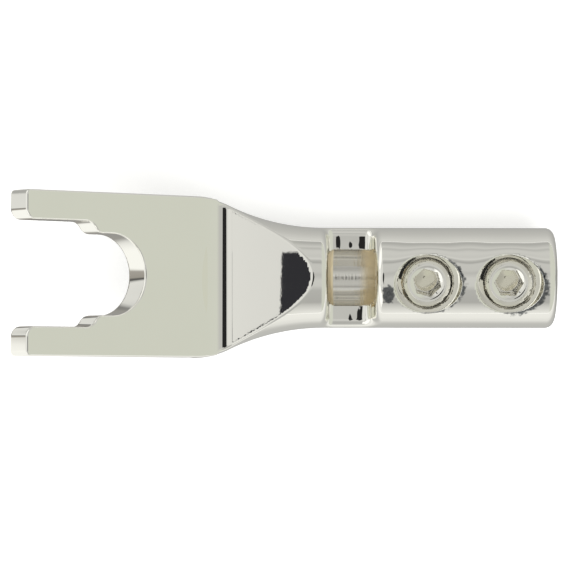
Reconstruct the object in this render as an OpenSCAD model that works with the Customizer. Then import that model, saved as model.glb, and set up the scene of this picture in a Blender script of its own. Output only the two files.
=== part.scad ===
// Speaker spade plug: one plated copper body with a bent fork, a sight window and two set screws.
// The wire's bore runs along X with its mouth at the origin, the fork points to -X, the screws face +Z.

/* [Barrel] */
// Outside diameter of the barrel
barrel_d = 8; // [7:0.1:10]
// Length of the straight barrel, from its rear end to the start of the flare
barrel_len = 18.4; // [18.3:0.1:19]
// Rounding of the barrel's rear edge
rear_edge_r = 0.7; // [0.2:0.1:1]

/* [Wire bore] */
// Diameter of the bore that takes the wire
bore_d = 4.6; // [3:0.1:5]
// How far the bore runs past the window's front wall
bore_past_window = 0.8; // [0.2:0.1:1.5]
// Lead-in chamfer at the bore's mouth
mouth_chamfer = 0.3; // [0.1:0.05:0.6]

/* [Sight window] */
// Distance from the rear end to the window's rear wall
window_from_rear = 14.4; // [13.8:0.1:14.6]
// Length of the window along the barrel
window_len = 3.8; // [3:0.1:4]
// Height of the window's floor above the barrel's axis
window_floor_z = 0.7; // [0.5:0.05:1.6]
// Fillet between the floor and the window's rear wall
window_rear_fillet = 1.4; // [0.4:0.1:1.6]
// Fillet between the floor and the window's front wall
window_front_fillet = 0.6; // [0.2:0.1:1.2]

/* [Set screws] */
// Outside diameter of the screws
screw_d = 3.9; // [3:0.1:4.2]
// Length of a screw
screw_len = 4; // [3:0.5:5]
// Radial clearance between a screw and its tapped hole
screw_clearance = 0.05; // [0.02:0.01:0.09]
// Distance from the rear end to the rear screw's axis
screw_from_rear = 3.8; // [3.6:0.1:4.2]
// Distance between the two screws' axes
screw_pitch = 6.5; // [5.6:0.1:6.6]
// How far the row of screws is turned about the barrel's axis, in degrees
screw_row_turn = 10; // [0:0.5:14]
// How far a screw's top face lies below the crest of the barrel
screw_sunk = 1.1; // [0.6:0.1:1.3]
// Width across the flats of the hexagon socket
socket_af = 2; // [1.5:0.1:2.2]
// Depth of the hexagon socket
socket_depth = 1.8; // [1.2:0.1:2]
// Chamfer at the top of a screw
screw_top_chamfer = 0.25; // [0.1:0.05:0.5]
// Chamfer at the tip of a screw
screw_tip_chamfer = 0.7; // [0.3:0.05:0.9]
// Diameter of the cup in a screw's tip
cup_d = 1.8; // [1:0.1:2]
// Included angle of the countersinks, in degrees
countersink_angle = 60; // [50:5:90]
// Diameter of a countersink at the crest of the barrel
countersink_d = 5.4; // [4.8:0.1:5.6]

/* [Neck] */
// Distance from the rear end to the valley where the fork bends up
valley_from_rear = 26.8; // [26.5:0.1:27.2]
// Height of the valley above the barrel's axis
valley_z = 0.9; // [0.7:0.05:1.2]
// How far the small flat that eases the valley reaches up each of its sides
valley_ease = 0.6; // [0.2:0.05:0.8]
// Slope of the flat ramp from the valley up to the barrel's crest, in degrees
ramp_angle = 23; // [22.5:0.1:26]
// Radius of the concave flare from the barrel towards the fork
flare_r = 17.2; // [14:0.1:19]
// Radius of the convex shoulders that end the flare
shoulder_r = 6.3; // [4:0.1:9]
// How far the flat across the bend's outside reaches along each of its sides
bend_ease = 1; // [0.4:0.1:1.4]
// How far the flat under the neck stands below the barrel
foot_drop = 0.05; // [0.03:0.01:0.2]

/* [Fork] */
// Angle between the fork and the barrel's axis, in degrees
bend_angle = 38; // [30:1:45]
// Width of the fork
fork_w = 12.8; // [12:0.1:14]
// Length of the fork from the valley to its tips
fork_len = 18.8; // [18.2:0.1:24]
// Thickness of the fork
fork_t = 2.3; // [1.8:0.1:2.6]
// Width of the throat, which seats a quarter inch post
throat_w = 6.35; // [5:0.05:7]
// Distance from the valley to the centre of the throat's arc
throat_from_valley = 10.5; // [9.3:0.1:11]
// Width of the mouth, which seats an 8 mm post
mouth_w = 8.2; // [7.6:0.1:9]
// Distance from the valley to the middle of the step between throat and mouth
step_from_valley = 12.2; // [12:0.1:13.8]
// Radius of the two curves that make each step
step_r = 1; // [0.8:0.05:1.1]
// Rounding of the tips towards the mouth
tip_inner_r = 0.85; // [0.2:0.05:1.2]
// Rounding of the tips at the outside
tip_outer_r = 0.35; // [0.1:0.05:0.8]

/* [Hidden] */
$fn = 96;

plating = [0.93, 0.92, 0.87];
screw_plating = [0.9, 0.89, 0.84];

barrel_r = barrel_d / 2;
bore_r = bore_d / 2;
fork_half = fork_w / 2;
screw_r = screw_d / 2;
hole_r = screw_r + screw_clearance;
past = 1;  // how far a cutter runs past what it cuts
clear_of_all = barrel_d + fork_w;  // longer than any section that a cutter crosses

// The plan of the neck is two tangent arcs, so both end at one angle
flare_turn = acos(1 - (fork_half - barrel_r) / (flare_r + shoulder_r));
flare_run = flare_r * sin(flare_turn);
shoulder_run = shoulder_r * sin(flare_turn);
valley_run = valley_from_rear - barrel_len;

// Half width of the plan at a distance from the start of the flare
function plan_half(run) =
    run <= flare_run
    ? barrel_r + flare_r - sqrt(flare_r * flare_r - run * run)
    : run >= flare_run + shoulder_run
    ? fork_half
    : fork_half - shoulder_r
        + sqrt(pow(shoulder_r, 2) - pow(flare_run + shoulder_run - run, 2));

valley = [-valley_from_rear, valley_z];
along_fork = [-cos(bend_angle), sin(bend_angle)];
fork_normal = [sin(bend_angle), cos(bend_angle)];
outer_valley = valley - fork_t * fork_normal;  // where the bend's section meets the underside

// The fork's plan starts just past the valley's flat, and the turned blank ends inside it
overlap = 0.05;
fork_root = valley_ease + overlap;
blank_end = (fork_root + 2 * overlap) * cos(bend_angle) - outer_valley[0];
root_run = valley_run + fork_root;
bend_half = plan_half(root_run);

// The flat under the neck, and where the fork's underside would meet it
foot_z = -barrel_r - foot_drop;
foot_corner = outer_valley - (outer_valley[1] - foot_z) / sin(bend_angle) * along_fork;

window_front_x = -window_from_rear - window_len;
bore_len = window_from_rear + window_len + bore_past_window;
drill_half_angle = 59;
drill_web = 0.2;  // the drill's chisel edge leaves a small flat
countersink_half = countersink_angle / 2;
screw_top_z = barrel_r - screw_sunk;
screw_tip_z = screw_top_z - screw_len;
socket_r = socket_af / 2 / cos(30);

// What lies between a square corner at the origin and an arc of radius r inside it
module corner_2d(r) {
    difference() {
        square(r);
        translate([r, r]) circle(r);
    }
}

// Half the plan from the flare on: half width along X, distance from the flare's start along Y
module half_plan_2d() {
    difference() {
        square([fork_half, flare_run]);
        translate([barrel_r + flare_r, 0]) circle(flare_r);
    }
    translate([0, flare_run]) intersection() {
        translate([fork_half - shoulder_r, shoulder_run]) circle(shoulder_r);
        square([fork_half, shoulder_run]);
    }
    translate([0, flare_run + shoulder_run]) square([fork_half, fork_len]);
}

// Half the section of the turned blank: radius along X, distance from the rear end along Y
module blank_section() {
    difference() {
        square([barrel_r, barrel_len]);
        translate([barrel_r, 0]) mirror([1, 0]) corner_2d(rear_edge_r);
    }
    translate([0, barrel_len]) intersection() {
        half_plan_2d();
        square([fork_half + past, root_run]);
    }
    polygon([
        [0, barrel_len + root_run],
        [bend_half, barrel_len + root_run],
        [norm([bend_half, outer_valley[1]]), blank_end],
        [0, blank_end]
    ]);
}

module blank() {
    rotate([0, -90, 0]) rotate([0, 0, 180]) rotate_extrude() blank_section();
}

// Side view of the whole body: X along X, Z along Y
module side_2d() {
    rise = barrel_r + past - valley_z;
    polygon([
        valley + valley_ease * along_fork,
        valley + valley_ease * [cos(ramp_angle), sin(ramp_angle)],
        valley + [rise / tan(ramp_angle), rise],
        [past, barrel_r + past],
        [past, foot_z],
        foot_corner + [bend_ease, 0],
        foot_corner + bend_ease * along_fork,
        outer_valley + (fork_len + past) * along_fork,
        valley + (fork_len + past) * along_fork
    ]);
}

// Draws a side view's outline through the whole width
module through_width() {
    rotate([90, 0, 0]) linear_extrude(clear_of_all, center = true) children();
}

// Puts the fork's plan in place: distance from the valley along X, thickness along Z
module on_fork() {
    translate([valley[0], 0, valley[1]]) rotate([0, bend_angle, 0]) rotate([0, 0, 180]) children();
}

// Both sides of what is drawn on the +Y side
module both_sides() {
    children();
    mirror([0, 1]) children();
}

module fork_outline_2d() {
    both_sides() difference() {
        intersection() {
            translate([-valley_run, 0]) mirror([0, 1]) rotate(-90) half_plan_2d();
            translate([fork_root, 0]) square([fork_len - fork_root, fork_w]);
        }
        translate([fork_len, fork_half]) rotate(180) corner_2d(tip_outer_r);
    }
}

module slot_2d() {
    throat_half = throat_w / 2;
    mouth_half = mouth_w / 2;
    rise = mouth_half - throat_half;
    reach = sqrt(4 * step_r * step_r - pow(2 * step_r - rise, 2));
    near = step_from_valley - reach / 2;
    far = step_from_valley + reach / 2;
    translate([throat_from_valley, 0]) circle(throat_half);
    translate([throat_from_valley, -throat_half])
        square([far - throat_from_valley + past, throat_w]);
    translate([far, -mouth_half]) square([fork_len - far + past, mouth_w]);
    both_sides() {
        difference() {
            polygon([[near, 0], [far, 0], [far, mouth_half - step_r], [near, throat_half + step_r]]);
            translate([near, throat_half + step_r]) circle(step_r);
        }
        translate([far, mouth_half - step_r]) circle(step_r);
        translate([fork_len, mouth_half]) mirror([1, 0]) {
            corner_2d(tip_inner_r);
            translate([-past, 0]) square([past, tip_inner_r]);
        }
    }
}

// The fork's plan, drawn thicker than the fork: the side view gives it its thickness
module fork_blank() {
    on_fork() translate([0, 0, -fork_t - past]) linear_extrude(fork_t + 2 * past)
        difference() {
            fork_outline_2d();
            slot_2d();
        }
}

// The bore with its lead-in at the rear end and the drill's point at the other
module wire_bore() {
    rotate([0, -90, 0]) rotate_extrude() polygon([
        [0, -past],
        [bore_r + mouth_chamfer + past, -past],
        [bore_r, mouth_chamfer],
        [bore_r, bore_len],
        [drill_web, bore_len + (bore_r - drill_web) / tan(drill_half_angle)],
        [0, bore_len + (bore_r - drill_web) / tan(drill_half_angle)]
    ]);
}

// The window's outline seen from the side, open towards +Z
module window_side_2d() {
    rear_x = -window_from_rear;
    difference() {
        translate([window_front_x, window_floor_z]) square([window_len, barrel_d]);
        translate([window_front_x, window_floor_z]) corner_2d(window_front_fillet);
        translate([rear_x, window_floor_z]) mirror([1, 0]) corner_2d(window_rear_fillet);
    }
}

// Places what is drawn along Z on the axis of a set screw
module on_screw_axis(from_rear) {
    rotate([screw_row_turn, 0, 0]) translate([-from_rear, 0, 0]) children();
}

module screw_hole() {
    cylinder(barrel_d, r = hole_r);
    countersink_r = countersink_d / 2;
    depth = (countersink_r - hole_r) / tan(countersink_half);
    translate([0, 0, barrel_r - depth])
        cylinder(depth + past, hole_r, countersink_r + past * tan(countersink_half));
}

module set_screw() {
    tip_r = screw_r - screw_tip_chamfer;
    cup_r = cup_d / 2;
    difference() {
        rotate_extrude() polygon([
            [0, screw_tip_z + cup_r / 2],
            [cup_r, screw_tip_z],
            [tip_r, screw_tip_z],
            [screw_r, screw_tip_z + screw_tip_chamfer],
            [screw_r, screw_top_z - screw_top_chamfer],
            [screw_r - screw_top_chamfer, screw_top_z],
            [0, screw_top_z]
        ]);
        translate([0, 0, screw_top_z - socket_depth])
            cylinder(socket_depth + past, r = socket_r, $fn = 6);
        socket_mouth();
    }
}

// The lead-in that takes the corners off the socket's edge
module socket_mouth() {
    lead = screw_top_chamfer / 2;
    translate([0, 0, screw_top_z - lead])
        cylinder(lead + past, socket_r, socket_r + lead + past);
}

module spade_body() {
    color(plating) difference() {
        intersection() {
            through_width() side_2d();
            union() {
                blank();
                fork_blank();
            }
        }
        wire_bore();
        through_width() window_side_2d();
        on_screw_axis(screw_from_rear) screw_hole();
        on_screw_axis(screw_from_rear + screw_pitch) screw_hole();
    }
}

module front_set_screw() {
    color(screw_plating) on_screw_axis(screw_from_rear + screw_pitch) set_screw();
}

module rear_set_screw() {
    color(screw_plating) on_screw_axis(screw_from_rear) set_screw();
}

spade_body();
front_set_screw();
rear_set_screw();
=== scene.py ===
"""Speaker spade plug: a polished plated body with a bent fork, a sight window and two set screws.

The wire's bore runs along X with its mouth at the origin, the fork points to -X, the screws face +Z.
The shapes are distance functions in millimetres, meshed on a grid and moved exactly onto the surface.
"""

import bpy
import numpy as np
from mathutils import Matrix, Vector


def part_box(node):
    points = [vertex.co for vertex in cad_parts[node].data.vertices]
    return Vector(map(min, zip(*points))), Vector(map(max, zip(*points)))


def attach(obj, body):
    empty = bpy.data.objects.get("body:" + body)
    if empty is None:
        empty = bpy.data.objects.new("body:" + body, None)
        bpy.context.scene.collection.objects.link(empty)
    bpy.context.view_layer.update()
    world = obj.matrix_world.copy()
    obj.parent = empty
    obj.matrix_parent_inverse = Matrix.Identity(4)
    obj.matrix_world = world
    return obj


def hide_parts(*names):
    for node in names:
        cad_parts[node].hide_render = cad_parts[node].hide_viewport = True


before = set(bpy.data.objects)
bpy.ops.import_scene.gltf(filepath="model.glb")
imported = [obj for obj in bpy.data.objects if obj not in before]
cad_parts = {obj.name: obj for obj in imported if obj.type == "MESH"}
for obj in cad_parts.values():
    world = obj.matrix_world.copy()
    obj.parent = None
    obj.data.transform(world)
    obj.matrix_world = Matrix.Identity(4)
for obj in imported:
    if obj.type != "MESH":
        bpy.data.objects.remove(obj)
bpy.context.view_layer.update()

MM = 0.001
DEGREES = np.degrees(1.0)

# Barrel, flare and fork, as in the part's source
BARREL_R = 4.0
BARREL_LEN = 18.4
REAR_EDGE_R = 0.7
FLARE_R = 17.2
SHOULDER_R = 6.3
FORK_HALF = 6.4
FORK_LEN = 18.8
FORK_T = 2.3
BEND = np.radians(38)
VALLEY = (-26.8, 0.9)
VALLEY_FILLET = 2.0
RAMP = np.radians(23)
FOOT_Z = -4.05
BEND_R = 2.6
EDGE_R = 0.22
TIP_OUTER_R = 0.35
TIP_INNER_R = 0.85

# The neck's plan is two tangent arcs, so both end at one angle
FLARE_TURN = np.arccos(1 - (FORK_HALF - BARREL_R) / (FLARE_R + SHOULDER_R))
FLARE_RUN = FLARE_R * np.sin(FLARE_TURN)
SHOULDER_END = FLARE_RUN + SHOULDER_R * np.sin(FLARE_TURN)
VALLEY_RUN = -VALLEY[0] - BARREL_LEN

# The round blank and the flat fork overlap at the valley, with a fillet between their plans
BLANK_PAST_VALLEY = 2.0
FORK_START = 0.2
PLAN_FILLET = 0.25
# The slope of the neck in plan, and the limit of how bluntly the ramp meets it
NECK_SLOPE = 0.25
BLUNTEST = 0.9

# Slot, where each step is two tangent arcs of one radius
THROAT_HALF = 3.175
THROAT_AT = 10.5
MOUTH_HALF = 4.1
STEP_AT = 12.2
STEP_R = 1.0
STEP_REACH = np.sqrt(4 * STEP_R**2 - (2 * STEP_R - MOUTH_HALF + THROAT_HALF) ** 2) / 2

# Bore and window
BORE_R = 2.3
BORE_END_R = 2.0
BORE_LEN = 19.0
BORE_STEP_FILLET = 0.7
BORE_EDGE_R = 0.05
DRILL_HALF_ANGLE = np.radians(59)
MOUTH_CHAMFER = 0.3
WINDOW_REAR = -14.4
WINDOW_FRONT = -18.2
WINDOW_FLOOR = 0.7
WINDOW_REAR_FILLET = 1.0
WINDOW_FILLET_TAPER = 0.05
WINDOW_FRONT_FILLET = 0.6
WINDOW_RIM_R = 0.6
# Soft steps in the window's floor: X, Y, slope, half length and half width of each
WINDOW_WAVES = [
    (-17.28, 2.95, 0.06, 0.14, 0.8),
    (-16.28, 2.67, 0.04, 0.12, 0.35),
    (-15.4, 3.2, 0.08, 0.2, 0.9),
    (-16.3, -3.6, 0.08, 0.11, 0.6),
    (-15.65, -3.2, 0.06, 0.13, 0.8),
]

# Set screws
SCREW_R = 1.95
SCREW_X = {"front_set_screw": -10.3, "rear_set_screw": -3.8}
SOCKET_TURN = {"front_set_screw": np.radians(-16), "rear_set_screw": np.radians(-2)}
SCREW_BODY = {"front_set_screw": "front_screw", "rear_set_screw": "rear_screw"}
ROW_TURN = np.radians(10)
SCREW_TOP = 2.9
SCREW_TIP = -1.1
TOP_CHAMFER = 0.42
TOP_CHAMFER_SLOPE = np.radians(34)
TIP_CHAMFER = 0.7
CUP_R = 0.9
CUP_SLOPE = 0.5
CUP_SCALE = 0.9
SOCKET_AF = 2.0
SOCKET_DEPTH = 1.8
SOCKET_EDGE_R = 0.05
SOCKET_LEAD_R = 1.3
SOCKET_LEAD_DEPTH = 0.35
SOCKET_LEAD_SLOPE = np.radians(30)
PILOT_R = 0.9
PILOT_HALF_ANGLE = 0.5
PILOT_RISE = 0.05

# Threads: both are scaled, because a distance grows too fast across a thread's flanks
PITCH = 0.7
SCREW_THREAD_DEPTH = 0.3
SCREW_THREAD_SCALE = 0.8
CREST_FLAT = 1.15
HOLE_R = 2.0
HOLE_THREAD_DEPTH = 0.12
HOLE_THREAD_SCALE = 0.9

# Countersinks, with the barrel slightly raised round their far side
SINK_R = 2.7
SINK_HALF_ANGLE = np.radians(27)
SINK_FROM = BARREL_R - (SINK_R - HOLE_R) / np.tan(SINK_HALF_ANGLE)
SINK_EDGE_R = 0.07
RAISED_BY = 0.08
RAISED_REACH = 0.9
RAISED_START = 0.2
RAISED_ABOVE = 0.5

# Meshing: grid cells, margin in cells, rounds of moving the points and the length of a probe
BODY_CELL = 0.142
SCREW_CELL = 0.06
MARGIN_CELLS = 2.5
ROUNDS = 4
PROBE = 0.004
LEAST_SLOPE = 0.05
CELL_CORNERS = [np.array([i, j, k]) for i in (0, 1) for j in (0, 1) for k in (0, 1)]

# Pairs of tones between which noise mixes each finish
PLATING = (0.955, 0.945, 0.895), (0.975, 0.965, 0.915)
SCREW_PLATING = (0.93, 0.92, 0.86), (0.97, 0.96, 0.91)
SATIN_PLATING = (0.90, 0.88, 0.81), (0.96, 0.94, 0.88)
TARNISH = (0.02, 0.025, 0.03), (0.36, 0.37, 0.37)
RINGED = (0.90, 0.87, 0.78), (0.97, 0.95, 0.88)
SCORED = (0.70, 0.69, 0.65), (1.0, 0.99, 0.95)
# The stain's tone, how metallic the clean bore is, and how much of that the stain takes away
STAIN = (0.97, 0.86, 0.62)
BORE_METALLIC = 0.88
STAIN_TAKES = 0.6
# Where the bore is stained: in the rear half of the window, and at its front end
STAIN_REAR = (-15.6, -14.6)
STAIN_END = (-12.6, -13.6)
STAIN_FRONT = (-17.5, -17.6)
# Tarnished marks on the barrel: X and Y in millimetres, then their half widths
TARNISHED = [(-13.45, -1.45, 0.45, 0.75), (-9.95, -0.64, 2.6, 2.18), (-3.35, -0.78, 2.6, 2.18)]
TARNISH_FEATHER = 0.9
TARNISH_EDGE = 0.12
# How near a point has to be to count as on the barrel, in the bore and on a screw's faces
TARNISH_SKIN = 0.04
BORE_SKIN = 0.03
FINISH_SKIN = 0.05
# Where the dull finish of the threads lies round a screw, and how far below the countersink
DULL_RING = (1.9, 2.15)
DULL_BELOW_SINK = 0.2
# The dull part of a screw: its socket but for the middle of the floor, and its thread
DULL_SOCKET_R = 1.25
DULL_SOCKET_FROM = 0.16
BRIGHT_FLOOR_R = 0.72
DULL_THREAD_FROM = 0.32

# A grey level's blue, as a share of its red and green
GREY_BLUE = 0.97
# The glowing tent's level, a painted reflection that lights nothing, against the tilt from straight
# up: round the X axis, then towards -X and +X
ROUND_X = [
    (-110, 0.80), (-96, 0.84), (-86, 0.79), (-77, 0.68), (-69, 0.58), (-65, 0.52), (-60, 0.42),
    (-50, 0.43), (-31, 0.45), (-26, 0.51), (-20, 0.585), (-8, 0.60), (-2, 0.54), (5, 0.49),
    (12, 0.55), (28, 0.56), (31, 0.50), (33, 0.39), (36, 0.44), (39, 0.50), (42, 0.64), (48, 0.57),
    (59, 0.60), (64, 0.58), (69, 0.48), (74, 0.59), (81, 0.48), (86, 0.41), (92, 0.57), (110, 0.60),
]
ALONG_X = [
    (-100, 0.80), (-60, 0.88), (-50, 0.82), (-46, 0.76), (-44, 0.70), (-40, 0.72), (-14, 0.80),
    (0, 0.62), (6, 0.62), (16, (0.63, 0.645, 0.58)), (100, (0.615, 0.632, 0.559)),
]
# How far along X, in metres, the second list takes over from the first
TAKE_OVER = (0.10, 0.30)
# Glowing ovals in the tent, seen only in reflections, white ones painting highlights and dark ones
# painting dark reflections: tilts along X and across it, then their half widths
PAINTED_HIGHLIGHTS = [(-58, -52, 20, 24), (-33, -53, 14, 14), (-58, 52, 20, 24)]
PAINTED_DARK_REFLECTIONS = [(-8, -2, 9.9, 11), (-3.6, -14, 3, 3)]
HIGHLIGHT_COLOUR = (1.1, 1.1, 1.07)
DARK_REFLECTION_COLOUR = (0.02, 0.02, 0.02)
# Where an oval's edge starts and ends, as the square of its reach
OVAL_EDGE = (1.05, 0.95)
# The dark bar in the tent, a painted dark reflection that the ramp shows near its top: tilts of its
# outer and inner edge, and their blur
BAR_OUTER = 43.99
BAR_INNER = 43.2
BAR_BLUR = 0.02
PAINTED_BAR_COLOUR = (0.03, 0.03, 0.035)
# The bar is wider on one side of these tilts across X, has a gap between others, and lies at -X
BAR_WIDER_BY = 0.75
BAR_WIDER = (1.5, 0.7)
BAR_GAP = (3.3, 3.4, 7.5, 8.0)
BAR_REACH = (-0.20, -0.30)
# The table's level against Y in millimetres: beside the barrel, and in front of the fork; the dark
# band near Y nought is the object's shadow painted in, and the +Y side is darker than the -Y side
BESIDE_WITH_SHADOW = [
    (-120, 0.86), (-50, 0.86), (-24, 0.84), (-14.4, 0.76), (-9.5, 0.53), (-5.9, 0.50), (-3, 0.30),
    (3, 0.30), (5, 0.41), (9.5, 0.47), (14.4, 0.51), (24, 0.57), (50, 0.63), (120, 0.63),
]
IN_FRONT_WITH_SHADOW = [
    (-120, 0.86), (-9, 0.98), (-5, 0.98), (-3, (0.38, 0.36, 0.33)), (3, (0.33, 0.31, 0.28)),
    (4, 0.08), (5, 0.10), (6, 0.75), (12, 0.70), (20, 0.40), (120, 0.63),
]
FRONT_FROM = (30.0, 46.0)

# Studio, in metres: the tent's middle and radius, and how far table and floor lie under the foot
TENT_X = -0.02125
TENT_R = 0.6
TABLE_SIZE = 0.6
TABLE_DROP = 0.000005
FLOOR_SIZE = 6
FLOOR_DROP = 0.00001
FLOOR_GLOW = 0.42
WORLD_GREY = (0.62, 0.62, 0.60)
LAMP_PLACE = (0.05, -0.25, 0.45)
LAMP_SIZE = (0.5, 0.4)
LAMP_WATTS = 1.6

# The photograph's view, in millimetres: a long lens nearly above, leaning a little to -X and -Y
CAMERA_TARGET = np.array([-21.25, -0.82, 0.0])
CAMERA_DISTANCE = 300.0
CAMERA_LEAN = np.radians(2.0), np.radians(1.7)
MM_PER_PIXEL = 0.0799
IMAGE_PIXELS = 576
SENSOR = 36.0


def round_max(a, b, radius):
    """The common part of two shapes that meet squarely, with the edge between them rounded."""
    corner = np.hypot(np.maximum(a + radius, 0), np.maximum(b + radius, 0))
    return np.minimum(np.maximum(a, b), -radius) + corner


def rolled_max(a, b, radius, meet):
    """The common part of two shapes whose normals have the dot product meet, rounded evenly."""
    p, q = a + radius, b + radius
    corner = np.sqrt(np.maximum(p * p + q * q - 2 * meet * p * q, 0) / (1 - meet**2)) - radius
    return np.where((p > meet * q) & (q > meet * p), corner, np.maximum(a, b))


def round_min(a, b, radius):
    """Two shapes joined, with a fillet between them."""
    return -round_max(-a, -b, radius)


def cone(out, up, slope):
    """A cone's distance, from how far a point lies out and up; the slope is its surface's."""
    return out * np.sin(slope) + up * np.cos(slope)


def plan_distance(width, run):
    """How far a half width lies outside the plan, at a distance from the start of the flare."""
    run = np.clip(run, 0, SHOULDER_END)
    rise = np.sqrt(FLARE_R**2 - np.minimum(run, FLARE_RUN)**2)
    back = np.minimum(SHOULDER_END - run, SHOULDER_END - FLARE_RUN)
    fall = np.sqrt(SHOULDER_R**2 - back**2)
    concave = run < FLARE_RUN
    half = np.where(concave, BARREL_R + FLARE_R - rise, FORK_HALF - SHOULDER_R + fall)
    slope = np.where(concave, run / rise, back / fall)
    return (width - half) / np.sqrt(1 + slope**2)


def slot_distance(along, y):
    """The fork's slot seen along the fork's normal, negative inside it."""
    run = STEP_REACH - np.minimum(np.abs(along - STEP_AT), STEP_REACH)
    drop = np.sqrt(STEP_R**2 - run**2)
    half = np.where(along < STEP_AT, THROAT_HALF + STEP_R - drop, MOUTH_HALF - STEP_R + drop)
    side = (np.abs(y) - half) * drop / STEP_R
    return np.where(along > THROAT_AT, side, np.hypot(along - THROAT_AT, y) - THROAT_HALF)


def fork_plan(along, y):
    """The fork's outline with its slot."""
    outline = plan_distance(np.abs(y), VALLEY_RUN + along)
    outline = round_max(outline, along - FORK_LEN, TIP_OUTER_R)
    return round_max(outline, -slot_distance(along, y), TIP_INNER_R)


def window_waves(x, y):
    """What the cutter left on the window's floor: soft steps at a few places."""
    height = np.zeros_like(x)
    for at_x, at_y, slope, run, half_width in WINDOW_WAVES:
        step = slope * run * (1 + np.tanh((x - at_x) / run))
        height = height + step * np.exp(-(((y - at_y) / half_width) ** 2))
    return height


def window_distance(x, y, z):
    """The sight window's cut."""
    floor = WINDOW_FLOOR + window_waves(x, y) - z
    rear = round_max(x - WINDOW_REAR, floor, WINDOW_REAR_FILLET - WINDOW_FILLET_TAPER * y)
    front = round_max(WINDOW_FRONT - x, floor, WINDOW_FRONT_FILLET)
    return np.maximum(rear, front)


def bore_distance(x, y, z):
    """The wire's bore, a little narrower past the window, with its drilled end and its lead-in."""
    radius = np.hypot(y, z)
    wide = round_max(radius - BORE_R, WINDOW_FRONT - x, BORE_STEP_FILLET)
    end = (radius - BORE_END_R) * np.cos(DRILL_HALF_ANGLE)
    end = end - (x + BORE_LEN) * np.sin(DRILL_HALF_ANGLE)
    narrow = np.maximum(radius - BORE_END_R, end)
    lead = (radius - BORE_R - MOUTH_CHAMFER - x) * np.sqrt(0.5)
    return np.minimum(np.minimum(wide, narrow), lead)


def to_screw(x, y, z, place):
    """Coordinates about a set screw's axis."""
    across = y * np.cos(ROW_TURN) + z * np.sin(ROW_TURN)
    along = z * np.cos(ROW_TURN) - y * np.sin(ROW_TURN)
    return x - place, across, along


def thread_wave(u, v, along):
    """A wave along a right-handed thread, from nought to one and back in each pitch."""
    turn = np.arctan2(v, u) / (2 * np.pi)
    return np.abs((along / PITCH - turn) % 1 - 0.5) * 2


def hole_distance(x, y, z, place):
    """A tapped hole with its countersink, in the upper half of the barrel."""
    u, v, along = to_screw(x, y, z, place)
    radius = np.hypot(u, v)
    groove = HOLE_THREAD_DEPTH * thread_wave(u, v, along)
    thread = (radius - HOLE_R - groove) * HOLE_THREAD_SCALE
    sink = (radius - HOLE_R) * np.cos(SINK_HALF_ANGLE)
    sink = sink - (along - SINK_FROM) * np.sin(SINK_HALF_ANGLE)
    return np.maximum(np.minimum(thread, sink), -along)


def raised_rim(x, y, z, place):
    """How far the barrel stands up beside a countersink, on the side away from the camera's lean."""
    u, v, along = to_screw(x, y, z, place)
    beside = (np.hypot(u, v) - SINK_R) / RAISED_REACH
    raised = np.clip(v / 2 - RAISED_START, 0, 1) * np.clip(along - RAISED_ABOVE, 0, 1)
    return RAISED_BY * raised * np.exp(-beside * beside)


def body_distance(x, y, z):
    """The spade body in one piece, negative inside the metal."""
    dx = x - VALLEY[0]
    dz = z - VALLEY[1]
    along = dz * np.sin(BEND) - dx * np.cos(BEND)
    above = dz * np.cos(BEND) + dx * np.sin(BEND)
    ramp = dz * np.cos(RAMP) - dx * np.sin(RAMP)

    blank = plan_distance(np.hypot(y, z), -x - BARREL_LEN)
    blank = np.maximum(blank, VALLEY[0] - BLANK_PAST_VALLEY - x)
    fork = np.maximum(fork_plan(along, y), FORK_START - along)
    plan = round_min(blank, fork, PLAN_FILLET)

    top = -rolled_max(-ramp, -above, VALLEY_FILLET, np.cos(RAMP + BEND))
    bottom = rolled_max(FOOT_Z - z, -FORK_T - above, BEND_R, np.cos(BEND))
    radius = np.maximum(np.hypot(y, z), 0.01)
    meet = np.clip(z / radius * np.cos(RAMP) - NECK_SLOPE * np.sin(RAMP), 0, BLUNTEST)
    meet = np.where(ramp > above, 0, meet)
    edge = EDGE_R / np.sqrt(1 - meet**2)
    body = rolled_max(plan, top, edge, meet)
    body = round_max(body, bottom, EDGE_R)
    body = round_max(body, x, REAR_EDGE_R)
    body = round_max(body, -window_distance(x, y, z), WINDOW_RIM_R)
    body = round_max(body, -bore_distance(x, y, z), BORE_EDGE_R)
    for place in SCREW_X.values():
        body = body - raised_rim(x, y, z, place)
        body = round_max(body, -hole_distance(x, y, z, place), SINK_EDGE_R)
    return body


def screw_distance(u, v, along, turn):
    """A set screw about its own axis: thread, chamfers, cup and hexagon socket."""
    radius = np.hypot(u, v)
    root = 1 - np.minimum(thread_wave(u, v, along) * CREST_FLAT, 1)
    thread = (radius - SCREW_R + SCREW_THREAD_DEPTH * root) * SCREW_THREAD_SCALE
    top = along - SCREW_TOP
    tip = SCREW_TIP - along
    screw = np.maximum(thread, np.maximum(top, tip))
    screw = np.maximum(screw, cone(radius - SCREW_R + TOP_CHAMFER, top, TOP_CHAMFER_SLOPE))
    screw = np.maximum(screw, (radius - SCREW_R + tip + TIP_CHAMFER) * np.sqrt(0.5))
    screw = np.maximum(screw, ((CUP_R - radius) * CUP_SLOPE + tip) * CUP_SCALE)

    angles = turn + np.radians([30, 90, 150])
    flats = [np.abs(u * np.cos(angle) + v * np.sin(angle)) for angle in angles]
    hexagon = np.max(flats, axis=0) - SOCKET_AF / 2
    floor = -SOCKET_DEPTH - top
    pilot = (radius - PILOT_R) * np.cos(PILOT_HALF_ANGLE) + floor * np.sin(PILOT_HALF_ANGLE)
    pilot = np.maximum(pilot, -floor - PILOT_RISE)
    socket = np.minimum(np.maximum(hexagon, floor), pilot)
    lead = cone(radius - SOCKET_LEAD_R, -top, SOCKET_LEAD_SLOPE)
    socket = np.minimum(socket, np.maximum(lead, -SOCKET_LEAD_DEPTH - top))
    return round_max(screw, -socket, SOCKET_EDGE_R)


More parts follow.
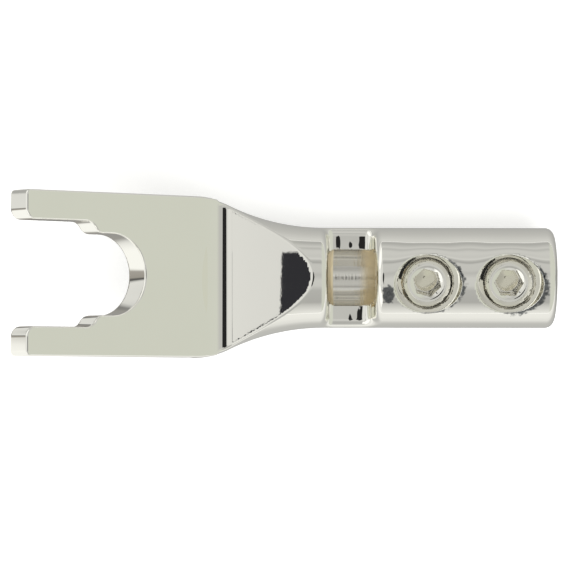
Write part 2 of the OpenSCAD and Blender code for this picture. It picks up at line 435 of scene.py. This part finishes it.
def gradient(distance, points):
    """Central differences of a distance function at some points."""
    slope = np.empty_like(points)
    for axis in range(3):
        shift = np.zeros(3)
        shift[axis] = PROBE
        ahead = distance(*(points + shift).T)
        behind = distance(*(points - shift).T)
        slope[:, axis] = (ahead - behind) / (2 * PROBE)
    return slope


def net_points(values, cells, low, cell):
    """One point in each mixed cell, the mean of where the surface crosses its edges."""
    total = np.zeros(cells.shape)
    hits = np.zeros(len(cells))
    for a in CELL_CORNERS:
        for b in CELL_CORNERS:
            if (b - a).sum() != 1 or (b < a).any():
                continue
            start = values[tuple((cells + a).T)]
            stop = values[tuple((cells + b).T)]
            cross = (start < 0) != (stop < 0)
            share = start[cross] / (start[cross] - stop[cross])
            total[cross] += cells[cross] + a + share[:, None] * (b - a)
            hits += cross
    return low + cell * total / hits[:, None]


def net_faces(inside, index):
    """A quad round every grid edge that the surface crosses, facing outwards."""
    quads = []
    for axis in range(3):
        u, v = (axis + 1) % 3, (axis + 2) % 3
        first = np.take(inside, range(inside.shape[axis] - 1), axis)
        second = np.take(inside, range(1, inside.shape[axis]), axis)
        edges = np.argwhere(first != second)
        outward = first[tuple(edges.T)]
        step_u = np.eye(3, dtype=int)[u]
        step_v = np.eye(3, dtype=int)[v]
        ring = [edges, edges - step_u, edges - step_u - step_v, edges - step_v]
        quad = np.stack([index[tuple(c.T)] for c in ring], axis=1)
        quad[~outward] = quad[~outward][:, ::-1]
        quads.append(quad)
    return np.concatenate(quads)


def surface_net(distance, low, high, cell):
    """Points, outward normals and quads of a distance function's zero surface."""
    low = np.array(low) - MARGIN_CELLS * cell
    counts = np.ceil((np.array(high) + MARGIN_CELLS * cell - low) / cell).astype(int) + 1
    axes = [low[i] + cell * np.arange(counts[i]) for i in range(3)]
    values = distance(*np.meshgrid(*axes, indexing="ij"))
    inside = values < 0
    mixed = np.zeros(counts - 1, dtype=int)
    for i, j, k in CELL_CORNERS:
        mixed += inside[i:counts[0] - 1 + i, j:counts[1] - 1 + j, k:counts[2] - 1 + k]
    cells = np.argwhere((mixed > 0) & (mixed < len(CELL_CORNERS)))
    index = np.full(mixed.shape, -1)
    index[tuple(cells.T)] = np.arange(len(cells))
    points = net_points(values, cells, low, cell)
    for _ in range(ROUNDS):
        slope = gradient(distance, points)
        reach = distance(*points.T) / np.maximum((slope**2).sum(1), LEAST_SLOPE)
        points -= np.clip(reach, -cell / 3, cell / 3)[:, None] * slope
    normals = gradient(distance, points)
    normals /= np.maximum(np.linalg.norm(normals, axis=1), 1e-6)[:, None]
    return points, normals, net_faces(inside, index)


def mesh_object(name, points, normals, quads):
    """A smooth-shaded object from a surface net, in metres."""
    mesh = bpy.data.meshes.new(name)
    mesh.vertices.add(len(points))
    mesh.vertices.foreach_set("co", (points * MM).ravel())
    mesh.loops.add(quads.size)
    mesh.loops.foreach_set("vertex_index", quads.ravel())
    mesh.polygons.add(len(quads))
    mesh.polygons.foreach_set("loop_start", np.arange(0, quads.size, 4))
    mesh.polygons.foreach_set("use_smooth", np.ones(len(quads), dtype=bool))
    mesh.update(calc_edges=True)
    mesh.validate()
    mesh.normals_split_custom_set_from_vertices(normals)
    piece = bpy.data.objects.new(name, mesh)
    bpy.context.scene.collection.objects.link(piece)
    return piece


def node_material(name):
    """A new node material with its tree and its surface shader."""
    material = bpy.data.materials.new(name)
    material.use_nodes = True
    tree = material.node_tree
    return material, tree, tree.nodes["Principled BSDF"]


def link(tree, source, target):
    """Joins an output to an input."""
    tree.links.new(source, target)


def calc(tree, operation, first, second=0.0):
    """A Math node on sockets or numbers."""
    node = tree.nodes.new("ShaderNodeMath")
    node.operation = operation
    for socket, value in zip(node.inputs, (first, second)):
        if isinstance(value, (int, float)):
            socket.default_value = value
        else:
            link(tree, value, socket)
    return node.outputs[0]


def sum_of_squares(tree, first, second):
    """The squares of two sockets, added."""
    first = calc(tree, "MULTIPLY", first, first)
    second = calc(tree, "MULTIPLY", second, second)
    return calc(tree, "ADD", first, second)


def length(tree, first, second):
    """The length of a flat vector from its two parts."""
    return calc(tree, "SQRT", sum_of_squares(tree, first, second))


def in_oval(tree, along, across, at_x, at_y, half_x, half_y):
    """A place told in half widths of an oval, from the oval's middle."""
    u = calc(tree, "DIVIDE", calc(tree, "SUBTRACT", along, at_x), half_x)
    v = calc(tree, "DIVIDE", calc(tree, "SUBTRACT", across, at_y), half_y)
    return u, v


def smooth_step(tree, value, low, high):
    """Nought up to the first limit and one from the second, with a soft change between them."""
    node = tree.nodes.new("ShaderNodeMapRange")
    node.interpolation_type = "SMOOTHSTEP"
    node.inputs["From Min"].default_value = low
    node.inputs["From Max"].default_value = high
    link(tree, value, node.inputs["Value"])
    return node.outputs["Result"]


def spread(tree, value, low, high):
    """Maps a value from 0.3 to 0.7 onto a range."""
    node = tree.nodes.new("ShaderNodeMapRange")
    node.inputs["From Min"].default_value = 0.3
    node.inputs["From Max"].default_value = 0.7
    node.inputs["To Min"].default_value = low
    node.inputs["To Max"].default_value = high
    link(tree, value, node.inputs["Value"])
    return node.outputs["Result"]


def blend(tree, factor, first, second):
    """A mix of two colours, each given as a socket or as red, green and blue."""
    node = tree.nodes.new("ShaderNodeMix")
    node.data_type = "RGBA"
    link(tree, factor, node.inputs["Factor"])
    for socket, value in ((node.inputs[6], first), (node.inputs[7], second)):
        if isinstance(value, tuple):
            socket.default_value = (*value, 1)
        else:
            link(tree, value, socket)
    return node.outputs[2]


def levels(tree, value, stops):
    """A colour ramp; each stop is a value and a grey level or colour."""
    first, last = stops[0][0], stops[-1][0]
    place = calc(tree, "DIVIDE", calc(tree, "SUBTRACT", value, first), last - first)
    node = tree.nodes.new("ShaderNodeValToRGB")
    ramp = node.color_ramp
    for _ in stops[2:]:
        ramp.elements.new(0.5)
    for element, (at, level) in zip(ramp.elements, stops):
        element.position = (at - first) / (last - first)
        colour = level if isinstance(level, tuple) else (level, level, level * GREY_BLUE)
        element.color = (*colour, 1)
    link(tree, place, node.inputs["Fac"])
    return node.outputs["Color"]


def noise(tree, scale, detail=4.0, stretch=(1, 1, 1)):
    """Noise on the object's own coordinates; the scale is in features per metre."""
    place = tree.nodes.new("ShaderNodeTexCoord")
    mapping = tree.nodes.new("ShaderNodeMapping")
    mapping.inputs["Scale"].default_value = stretch
    texture = tree.nodes.new("ShaderNodeTexNoise")
    texture.inputs["Scale"].default_value = scale
    texture.inputs["Detail"].default_value = detail
    link(tree, place.outputs["Object"], mapping.inputs["Vector"])
    link(tree, mapping.outputs["Vector"], texture.inputs["Vector"])
    return texture.outputs["Fac"]


def bump(tree, height, strength, distance):
    """A normal from a height; the distance is in metres."""
    node = tree.nodes.new("ShaderNodeBump")
    node.inputs["Strength"].default_value = strength
    node.inputs["Distance"].default_value = distance
    link(tree, height, node.inputs["Height"])
    return node.outputs["Normal"]


def place_in_mm(tree):
    """The object's own X, Y and Z in millimetres."""
    split = tree.nodes.new("ShaderNodeSeparateXYZ")
    link(tree, tree.nodes.new("ShaderNodeTexCoord").outputs["Object"], split.inputs["Vector"])
    return [calc(tree, "MULTIPLY", split.outputs[axis], 1000) for axis in "XYZ"]


def tarnish(tree, marks):
    """One inside the feathered marks on the top of the barrel, and nought elsewhere."""
    along, across, up = place_in_mm(tree)
    ragged = calc(tree, "SUBTRACT", noise(tree, 3000, 5), 0.5)
    feather = calc(tree, "MULTIPLY", ragged, TARNISH_FEATHER)
    marked = 0.0
    for mark in marks:
        reach = length(tree, *in_oval(tree, along, across, *mark))
        outside = calc(tree, "MULTIPLY", calc(tree, "SUBTRACT", reach, 1), mark[-1])
        edge = smooth_step(tree, calc(tree, "ADD", outside, feather), TARNISH_EDGE, -TARNISH_EDGE)
        marked = calc(tree, "MAXIMUM", marked, edge)
    outer = calc(tree, "GREATER_THAN", length(tree, across, up), BARREL_R - TARNISH_SKIN)
    above = calc(tree, "GREATER_THAN", up, 0)
    return calc(tree, "MULTIPLY", calc(tree, "MULTIPLY", outer, above), marked)


def plated(name, tones, roughness, grain, marks=()):
    """Bright plated metal with slightly uneven colour, gloss and surface."""
    material, tree, shader = node_material(name)
    shader.inputs["Metallic"].default_value = 1.0
    colour = blend(tree, noise(tree, 260), *tones)
    if marks:
        dull = blend(tree, noise(tree, 5200, 3), *TARNISH)
        colour = blend(tree, tarnish(tree, marks), colour, dull)
    link(tree, colour, shader.inputs["Base Color"])
    link(tree, spread(tree, noise(tree, 700, 6), *roughness), shader.inputs["Roughness"])
    link(tree, bump(tree, noise(tree, 2600, 3), grain, 0.00002), shader.inputs["Normal"])
    return material


def bored(name):
    """Plated metal with a drill's rings round the X axis, scores along it and a stain."""
    material, tree, shader = node_material(name)
    rings = noise(tree, 2500, 3, stretch=(2.2, 0.05, 0.05))
    scores = spread(tree, noise(tree, 2100, 4, stretch=(0.03, 1, 1)), 0, 1)
    along = place_in_mm(tree)[0]
    rear = smooth_step(tree, along, *STAIN_REAR)
    rear = calc(tree, "MULTIPLY", rear, smooth_step(tree, along, *STAIN_END))
    stained = calc(tree, "MAXIMUM", rear, smooth_step(tree, along, *STAIN_FRONT))
    metallic = calc(tree, "SUBTRACT", BORE_METALLIC, calc(tree, "MULTIPLY", stained, STAIN_TAKES))
    scored, ringed = blend(tree, scores, *SCORED), blend(tree, rings, *RINGED)
    clean = blend(tree, calc(tree, "MULTIPLY", rings, 0.5), scored, ringed)
    link(tree, metallic, shader.inputs["Metallic"])
    link(tree, blend(tree, stained, clean, STAIN), shader.inputs["Base Color"])
    link(tree, spread(tree, rings, 0.03, 0.07), shader.inputs["Roughness"])
    link(tree, bump(tree, rings, 0.6, 0.00003), shader.inputs["Normal"])
    return material


def satin(name):
    """Plating inside the sockets and round the threads, where it stays duller."""
    material, tree, shader = node_material(name)
    shader.inputs["Metallic"].default_value = 0.9
    link(tree, blend(tree, noise(tree, 900, 4), *SATIN_PLATING), shader.inputs["Base Color"])
    link(tree, spread(tree, noise(tree, 1500, 3), 0.12, 0.22), shader.inputs["Roughness"])
    return material


def only_reflected(card, name, glow_colour):
    """Gives a stage card a glowing node material that only reflections see."""
    material = bpy.data.materials.new(name)
    material.use_nodes = True
    tree = material.node_tree
    tree.nodes.remove(tree.nodes["Principled BSDF"])
    place = tree.nodes.new("ShaderNodeTexCoord")
    parts = tree.nodes.new("ShaderNodeSeparateXYZ")
    link(tree, place.outputs["Object"], parts.inputs["Vector"])
    glow = tree.nodes.new("ShaderNodeEmission")
    link(tree, glow_colour(tree, *parts.outputs), glow.inputs["Color"])
    link(tree, glow.outputs["Emission"], tree.nodes["Material Output"].inputs["Surface"])
    card.data.materials.append(material)
    card.visible_camera = False
    card.visible_shadow = False
    card.visible_diffuse = False


def tilt(tree, run, rise):
    """How far a direction tilts from straight up, in degrees."""
    return calc(tree, "MULTIPLY", calc(tree, "ARCTAN2", run, rise), DEGREES)


def painted_bar_share(tree, x, y, z, across):
    """One inside the tent's dark bar, a painted dark reflection, and nought outside it."""
    polar = tilt(tree, length(tree, x, y), z)
    wider = calc(tree, "MULTIPLY", smooth_step(tree, across, *BAR_WIDER), BAR_WIDER_BY)
    outer = calc(tree, "SUBTRACT", polar, wider)
    start = smooth_step(tree, outer, BAR_OUTER, BAR_OUTER - BAR_BLUR)
    stop = smooth_step(tree, polar, BAR_INNER + BAR_BLUR, BAR_INNER)
    into_gap = smooth_step(tree, across, *BAR_GAP[:2])
    out_of_gap = smooth_step(tree, across, *BAR_GAP[2:])
    whole = calc(tree, "SUBTRACT", 1.0, calc(tree, "SUBTRACT", into_gap, out_of_gap))
    bar = calc(tree, "MULTIPLY", calc(tree, "SUBTRACT", start, stop), whole)
    return calc(tree, "MULTIPLY", bar, smooth_step(tree, x, *BAR_REACH))


def tent_painted_reflections(tree, x, y, z):
    """The tent's painted reflections: its glowing levels, its painted highlights, its painted dark
    reflections and its dark bar.
    """
    along = tilt(tree, x, z)
    across = tilt(tree, y, z)
    sideways = smooth_step(tree, calc(tree, "ABSOLUTE", x), *TAKE_OVER)
    cloth = blend(tree, sideways, levels(tree, across, ROUND_X), levels(tree, along, ALONG_X))
    # Painted highlights and painted dark reflections, laid over the tent's levels
    for ovals, colour in ((PAINTED_HIGHLIGHTS, HIGHLIGHT_COLOUR), (PAINTED_DARK_REFLECTIONS, DARK_REFLECTION_COLOUR)):
        for oval in ovals:
            reach = sum_of_squares(tree, *in_oval(tree, along, across, *oval))
            cloth = blend(tree, smooth_step(tree, reach, *OVAL_EDGE), cloth, colour)
    return blend(tree, painted_bar_share(tree, x, y, z, across), cloth, PAINTED_BAR_COLOUR)


def table_and_painted_shadow(tree, x, y, z):
    """What the table shows in the underside and in the walls of the slot, with the object's shadow
    painted in under it.
    """
    place = calc(tree, "MULTIPLY", y, 1000.0)
    front = smooth_step(tree, calc(tree, "MULTIPLY", x, -1000.0), *FRONT_FROM)
    return blend(tree, front, levels(tree, place, BESIDE_WITH_SHADOW), levels(tree, place, IN_FRONT_WITH_SHADOW))


def build_tent():
    """A pale glowing tent round the object and the table in it, both seen only in reflections, where
    they paint what the polished faces show.
    """
    bpy.ops.mesh.primitive_uv_sphere_add(segments=96, ring_count=64, radius=TENT_R)
    tent = bpy.context.object
    tent.name = "painted_reflection_shell"
    tent.location = (TENT_X, 0, 0)
    only_reflected(tent, "painted_reflection_tent", tent_painted_reflections)
    # The table glows only in reflections and carries the object's painted shadow
    bpy.ops.mesh.primitive_plane_add(size=TABLE_SIZE)
    table = bpy.context.object
    table.name = "table_top"
    table.location = (0, 0, FOOT_Z * MM - TABLE_DROP)
    only_reflected(table, "table_painted_shadow", table_and_painted_shadow)


def body_finish(points):
    """Which of the body's finishes each point has: 0 bright, 1 bored, 2 satin."""
    finish = (np.abs(bore_distance(*points.T)) < BORE_SKIN).astype(np.int32)
    for place in SCREW_X.values():
        u, v, along = to_screw(*points.T, place)
        radius = np.hypot(u, v)
        ringed = (radius > DULL_RING[0]) & (radius < DULL_RING[1])
        finish[ringed & (along > 0) & (along < SINK_FROM - DULL_BELOW_SINK)] = 2
    return finish


def screw_finish(points):
    """Which of a screw's finishes each point has: 0 bright, 1 satin in the socket and threads."""
    radius = np.hypot(points[:, 0], points[:, 1])
    depth = SCREW_TOP - points[:, 2]
    bright_floor = (radius <= BRIGHT_FLOOR_R) & (depth >= SOCKET_DEPTH - FINISH_SKIN)
    in_socket = (radius < DULL_SOCKET_R) & (depth > DULL_SOCKET_FROM) & ~bright_floor
    threaded = radius > SCREW_R - SCREW_THREAD_DEPTH - FINISH_SKIN
    threaded = threaded & (depth > DULL_THREAD_FROM)
    return (in_socket | threaded).astype(np.int32)


def build_body(dull):
    """The spade body as one mesh, with three finishes."""
    low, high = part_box("spade_body")
    low, high = np.array(low) / MM, np.array(high) / MM
    points, normals, quads = surface_net(body_distance, low, high, BODY_CELL)
    piece = mesh_object("plated_spade_body", points, normals, quads)
    bright = plated("bright_plating", PLATING, (0.004, 0.010), 0.006, TARNISHED)
    for material in (bright, bored("drilled_bore"), dull):
        piece.data.materials.append(material)
    piece.data.polygons.foreach_set("material_index", body_finish(points[quads].mean(axis=1)))
    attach(piece, "spade")
    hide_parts("spade_body")


def build_screw(node, bright, dull):
    """One set screw, turned with the row and put at its place."""
    turn = SOCKET_TURN[node]
    low = (-SCREW_R, -SCREW_R, SCREW_TIP)
    high = (SCREW_R, SCREW_R, SCREW_TOP)
    points, normals, quads = surface_net(
        lambda u, v, along: screw_distance(u, v, along, turn), low, high, SCREW_CELL
    )
    finish = screw_finish(points[quads].mean(axis=1))
    c, s = np.cos(ROW_TURN), np.sin(ROW_TURN)
    turned = np.array([[1, 0, 0], [0, c, -s], [0, s, c]])
    points = points @ turned.T + (SCREW_X[node], 0, 0)
    piece = mesh_object("plated_" + node, points, normals @ turned.T, quads)
    piece.data.materials.append(bright)
    piece.data.materials.append(dull)
    piece.data.polygons.foreach_set("material_index", finish)
    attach(piece, SCREW_BODY[node])
    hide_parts(node)


def seen_ray(tree):
    """One for what the camera sees, directly, mirrored or through something."""
    path = tree.nodes.new("ShaderNodeLightPath")
    seen = path.outputs["Is Camera Ray"]
    for kind in ("Is Glossy Ray", "Is Transmission Ray"):
        seen = calc(tree, "MAXIMUM", seen, path.outputs[kind])
    return seen


def build_floor():
    """A pale floor that keeps the object's shadow."""
    bpy.ops.mesh.primitive_plane_add(size=FLOOR_SIZE)
    floor = bpy.context.object
    floor.name = "studio_floor"
    floor.location.z = FOOT_Z * MM - FLOOR_DROP
    material, tree, shader = node_material("pale_floor")
    shader.inputs["Base Color"].default_value = (0.9, 0.9, 0.9, 1)
    shader.inputs["Roughness"].default_value = 0.9
    shader.inputs["Specular IOR Level"].default_value = 0.0
    glow = tree.nodes.new("ShaderNodeEmission")
    link(tree, calc(tree, "MULTIPLY", seen_ray(tree), FLOOR_GLOW), glow.inputs["Strength"])
    both = tree.nodes.new("ShaderNodeAddShader")
    link(tree, shader.outputs["BSDF"], both.inputs[0])
    link(tree, glow.outputs["Emission"], both.inputs[1])
    link(tree, both.outputs[0], tree.nodes["Material Output"].inputs["Surface"])
    floor.data.materials.append(material)


def build_world():
    """White to the camera and in mirrors, light grey to everything else."""
    world = bpy.data.worlds.new("studio")
    bpy.context.scene.world = world
    world.use_nodes = True
    tree = world.node_tree
    colour = blend(tree, seen_ray(tree), WORLD_GREY, (1, 1, 1))
    link(tree, colour, tree.nodes["Background"].inputs["Color"])


def build_camera():
    """The photograph's view, as a camera whose frame covers the photograph's pixels."""
    lean_x, lean_y = CAMERA_LEAN
    aim = np.array([-np.sin(lean_x), -np.sin(lean_y), 0.0])
    aim[2] = np.sqrt(1 - aim[0] ** 2 - aim[1] ** 2)
    data = bpy.data.cameras.new("camera")
    data.sensor_width = SENSOR
    data.lens = CAMERA_DISTANCE / MM_PER_PIXEL * data.sensor_width / IMAGE_PIXELS
    data.clip_start = 0.01
    data.clip_end = 20.0
    camera = bpy.data.objects.new("camera", data)
    bpy.context.scene.collection.objects.link(camera)
    right = np.cross(-aim, (0, 1, 0))
    right /= np.linalg.norm(right)
    up = np.cross(aim, right)
    camera.location = Vector(CAMERA_TARGET + CAMERA_DISTANCE * aim) * MM
    camera.rotation_euler = Matrix(np.column_stack([right, up, aim])).to_euler()
    bpy.context.scene.camera = camera


def build_lights():
    """A soft lamp from above and in front, not seen in the polished faces."""
    data = bpy.data.lights.new("soft_top", "AREA")
    data.shape = "RECTANGLE"
    data.size, data.size_y = LAMP_SIZE
    data.energy = LAMP_WATTS
    lamp = bpy.data.objects.new("soft_top", data)
    bpy.context.scene.collection.objects.link(lamp)
    lamp.location = LAMP_PLACE
    lamp.rotation_euler = (-lamp.location).to_track_quat("-Z", "Y").to_euler()
    lamp.visible_glossy = False


bpy.context.scene.view_settings.view_transform = "Standard"
build_camera()
build_world()
build_floor()
build_tent()
build_lights()

dull_metal = satin("satin_plating")
build_body(dull_metal)
screw_metal = plated("screw_plating", SCREW_PLATING, (0.02, 0.05), 0.03)
for screw in SCREW_X:
    build_screw(screw, screw_metal, dull_metal)
